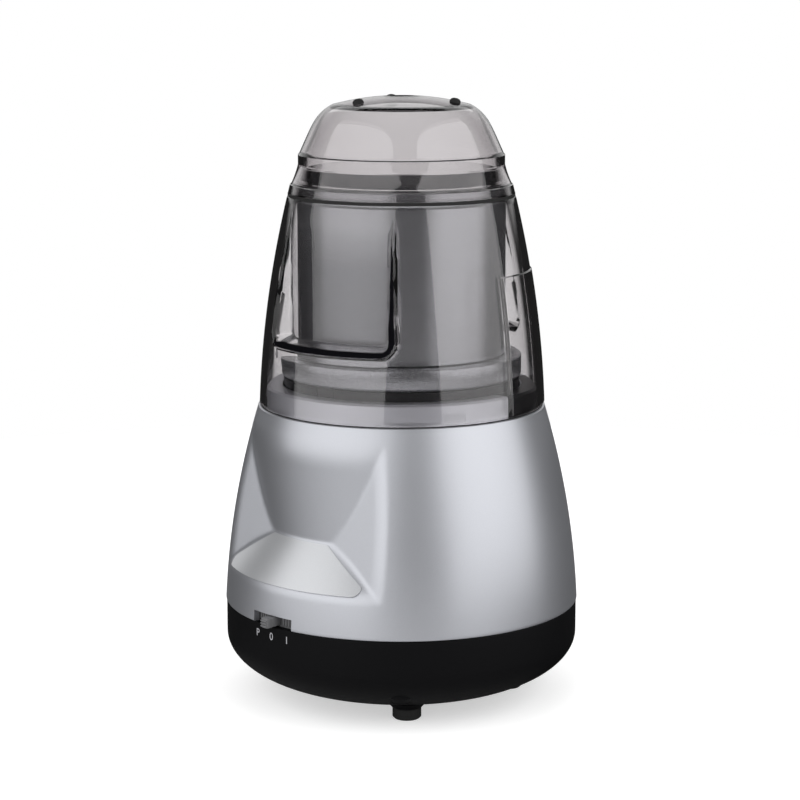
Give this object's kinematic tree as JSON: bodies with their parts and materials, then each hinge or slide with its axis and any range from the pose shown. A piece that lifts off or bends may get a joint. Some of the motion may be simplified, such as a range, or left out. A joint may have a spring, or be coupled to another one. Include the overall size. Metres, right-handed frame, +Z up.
{
  "type": "electric grinder",
  "caption": "Kitchen grinder with a motor base, slide switch, twist-on bowl under a smoked cover, driven blade and a lift-off domed cap.",
  "frame": {"origin": "on the surface that the feet stand on, below the motor's axis", "axes": "+Z up along the motor and blade axis, the switch faces -Y, +X to the right seen from the front"},
  "size_m": [0.1406, 0.149, 0.2368],
  "materials": {
    "silver_paint": "satin silver paint on moulded plastic",
    "label_foil": "satin silver foil, bare",
    "black_plastic": "satin",
    "knob_plastic": "glossy dark grey",
    "black_rubber": "matte",
    "smoked_plastic": "transparent with a smoke tint",
    "bowl_metal": "satin grey",
    "grey_plastic": "satin",
    "white_plastic": "satin white",
    "dark_plastic": "satin",
    "plated_steel": "zinc plated",
    "blade_steel": "ground",
    "lamination": "stacked steel sheet",
    "copper": "enamelled copper wire and bars",
    "bronze": "sintered bronze",
    "cast_metal": "as cast",
    "carbon": "pressed carbon"
  },
  "bodies": {
    "base": {"base_housing": "silver_paint", "base_pan": "black_plastic", "label_plate": "label_foil", "rubber_feet": "black_rubber", "housing_screws": "plated_steel", "cord_gland": "black_rubber", "switch_body": "black_plastic", "switch_screws": "plated_steel", "stator_core": "lamination", "field_coils": "copper", "top_bracket": "cast_metal", "low_bracket": "cast_metal", "motor_bolts": "plated_steel", "motor_nuts": "plated_steel", "top_bearing": "blade_steel", "low_bearing": "blade_steel", "motor_isolators": "black_rubber", "motor_screws": "plated_steel", "brush_holders": "black_plastic", "carbon_brushes": "carbon", "brush_springs": "plated_steel", "deck_seal": "black_rubber", "interlock_spring": "plated_steel", "interlock_switch": "black_plastic", "interlock_bracket": "plated_steel"},
    "rotor": {"motor_shaft": "blade_steel", "armature_core": "lamination", "armature_windings": "copper", "commutator": "copper", "cooling_fan": "dark_plastic", "drive_coupling": "white_plastic"},
    "switch": {"switch_slide": "knob_plastic"},
    "lock": {"lock_ring": "black_plastic"},
    "interlock": {"interlock_pin": "white_plastic"},
    "jar": {"bowl": "bowl_metal", "bowl_collar": "grey_plastic", "collar_screws": "plated_steel", "cover": "smoked_plastic", "seat_seal": "black_rubber", "rim_seal": "black_rubber", "shaft_bush": "bronze", "shaft_seal": "black_rubber"},
    "blade": {"driven_coupling": "white_plastic", "thrust_washer": "white_plastic", "blade_shaft": "blade_steel", "blade_spacer": "blade_steel", "blade": "blade_steel", "blade_nut": "blade_steel"},
    "cap": {"cap": "smoked_plastic", "cap_nubs": "black_rubber"}
  },
  "joints": [
    {"name": "motor_spin", "type": "hinge", "parent": "base", "child": "rotor", "pos_m": [0, 0, 0.062], "axis": [0, 0, 1], "continuous": true},
    {"name": "switch_turn", "type": "hinge", "parent": "base", "child": "switch", "pos_m": [0, 0, 0.04], "axis": [0, 0, 1], "range_deg": [-6.7, 6.7]},
    {"name": "lock_turn", "type": "hinge", "parent": "base", "child": "lock", "pos_m": [0, 0, 0.124], "axis": [0, 0, -1], "range_deg": [0, 22]},
    {"name": "interlock_press", "type": "slide", "parent": "base", "child": "interlock", "axis": [0, 0, -1], "range_m": [0, 0.0025], "deforming": ["interlock_spring"]},
    {"name": "jar_lift", "type": "slide", "parent": "lock", "child": "jar", "axis": [0, 0, 1], "range_m": [0, 0.1]},
    {"name": "blade_spin", "type": "hinge", "parent": "jar", "child": "blade", "pos_m": [0, 0, 0.138], "axis": [0, 0, 1], "continuous": true},
    {"name": "cap_lift", "type": "slide", "parent": "jar", "child": "cap", "axis": [0, 0, 1], "range_m": [0, 0.06]}
  ],
  "couplings": [
    {"joint": "interlock_press", "follows": "lock_turn", "m_per_rad": 0.00651},
    {"joint": "blade_spin", "follows": "motor_spin", "ratio": 1}
  ]
}
